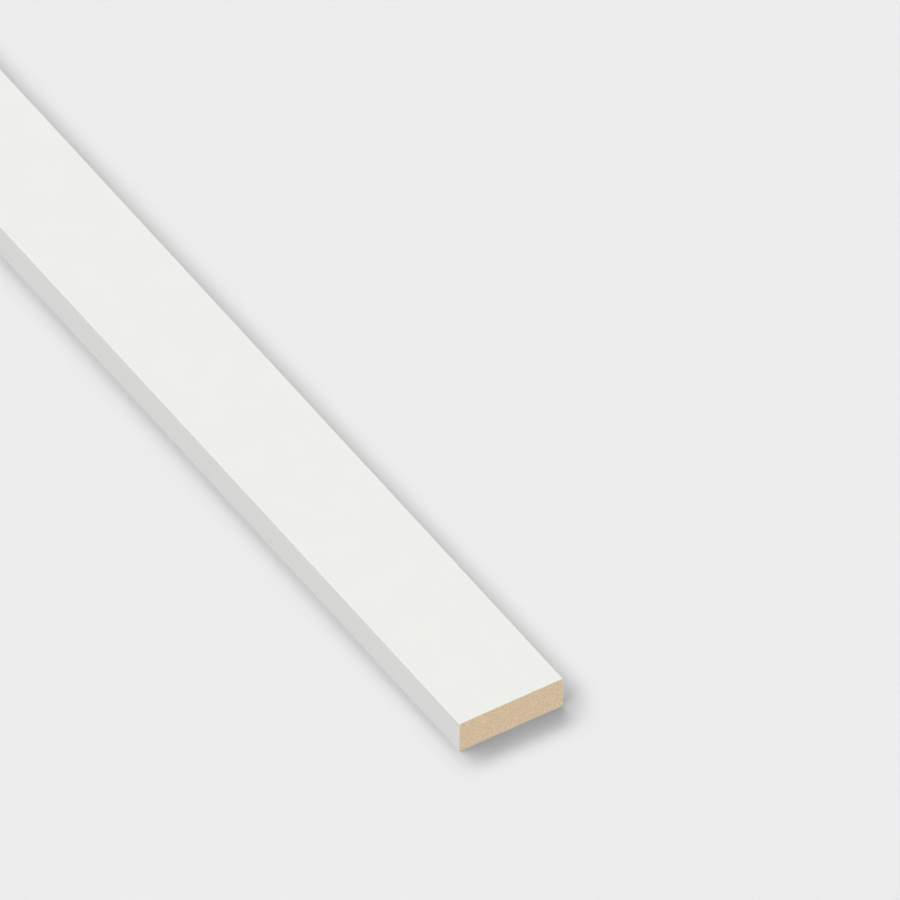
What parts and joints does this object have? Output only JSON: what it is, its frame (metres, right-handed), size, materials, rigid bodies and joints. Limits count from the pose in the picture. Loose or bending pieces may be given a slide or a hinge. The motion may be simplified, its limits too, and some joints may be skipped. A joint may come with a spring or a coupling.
{
  "type": "flat moulding",
  "caption": "Straight flat moulding strip of white-finished fibreboard, rectangular in section with crisp arrises and square-sawn ends, fixed by its flat back as trim.",
  "frame": {"origin": "middle of the flat back, on the surface that the moulding lies on", "axes": "+X along the length, towards the sawn end that the picture shows; +Y across the face; +Z out of the face"},
  "size_m": [2.4, 0.036, 0.011],
  "materials": {
    "white_finished_fibreboard": "satin"
  },
  "bodies": {
    "root": {"flat_moulding": "white_finished_fibreboard"}
  },
  "joints": []
}
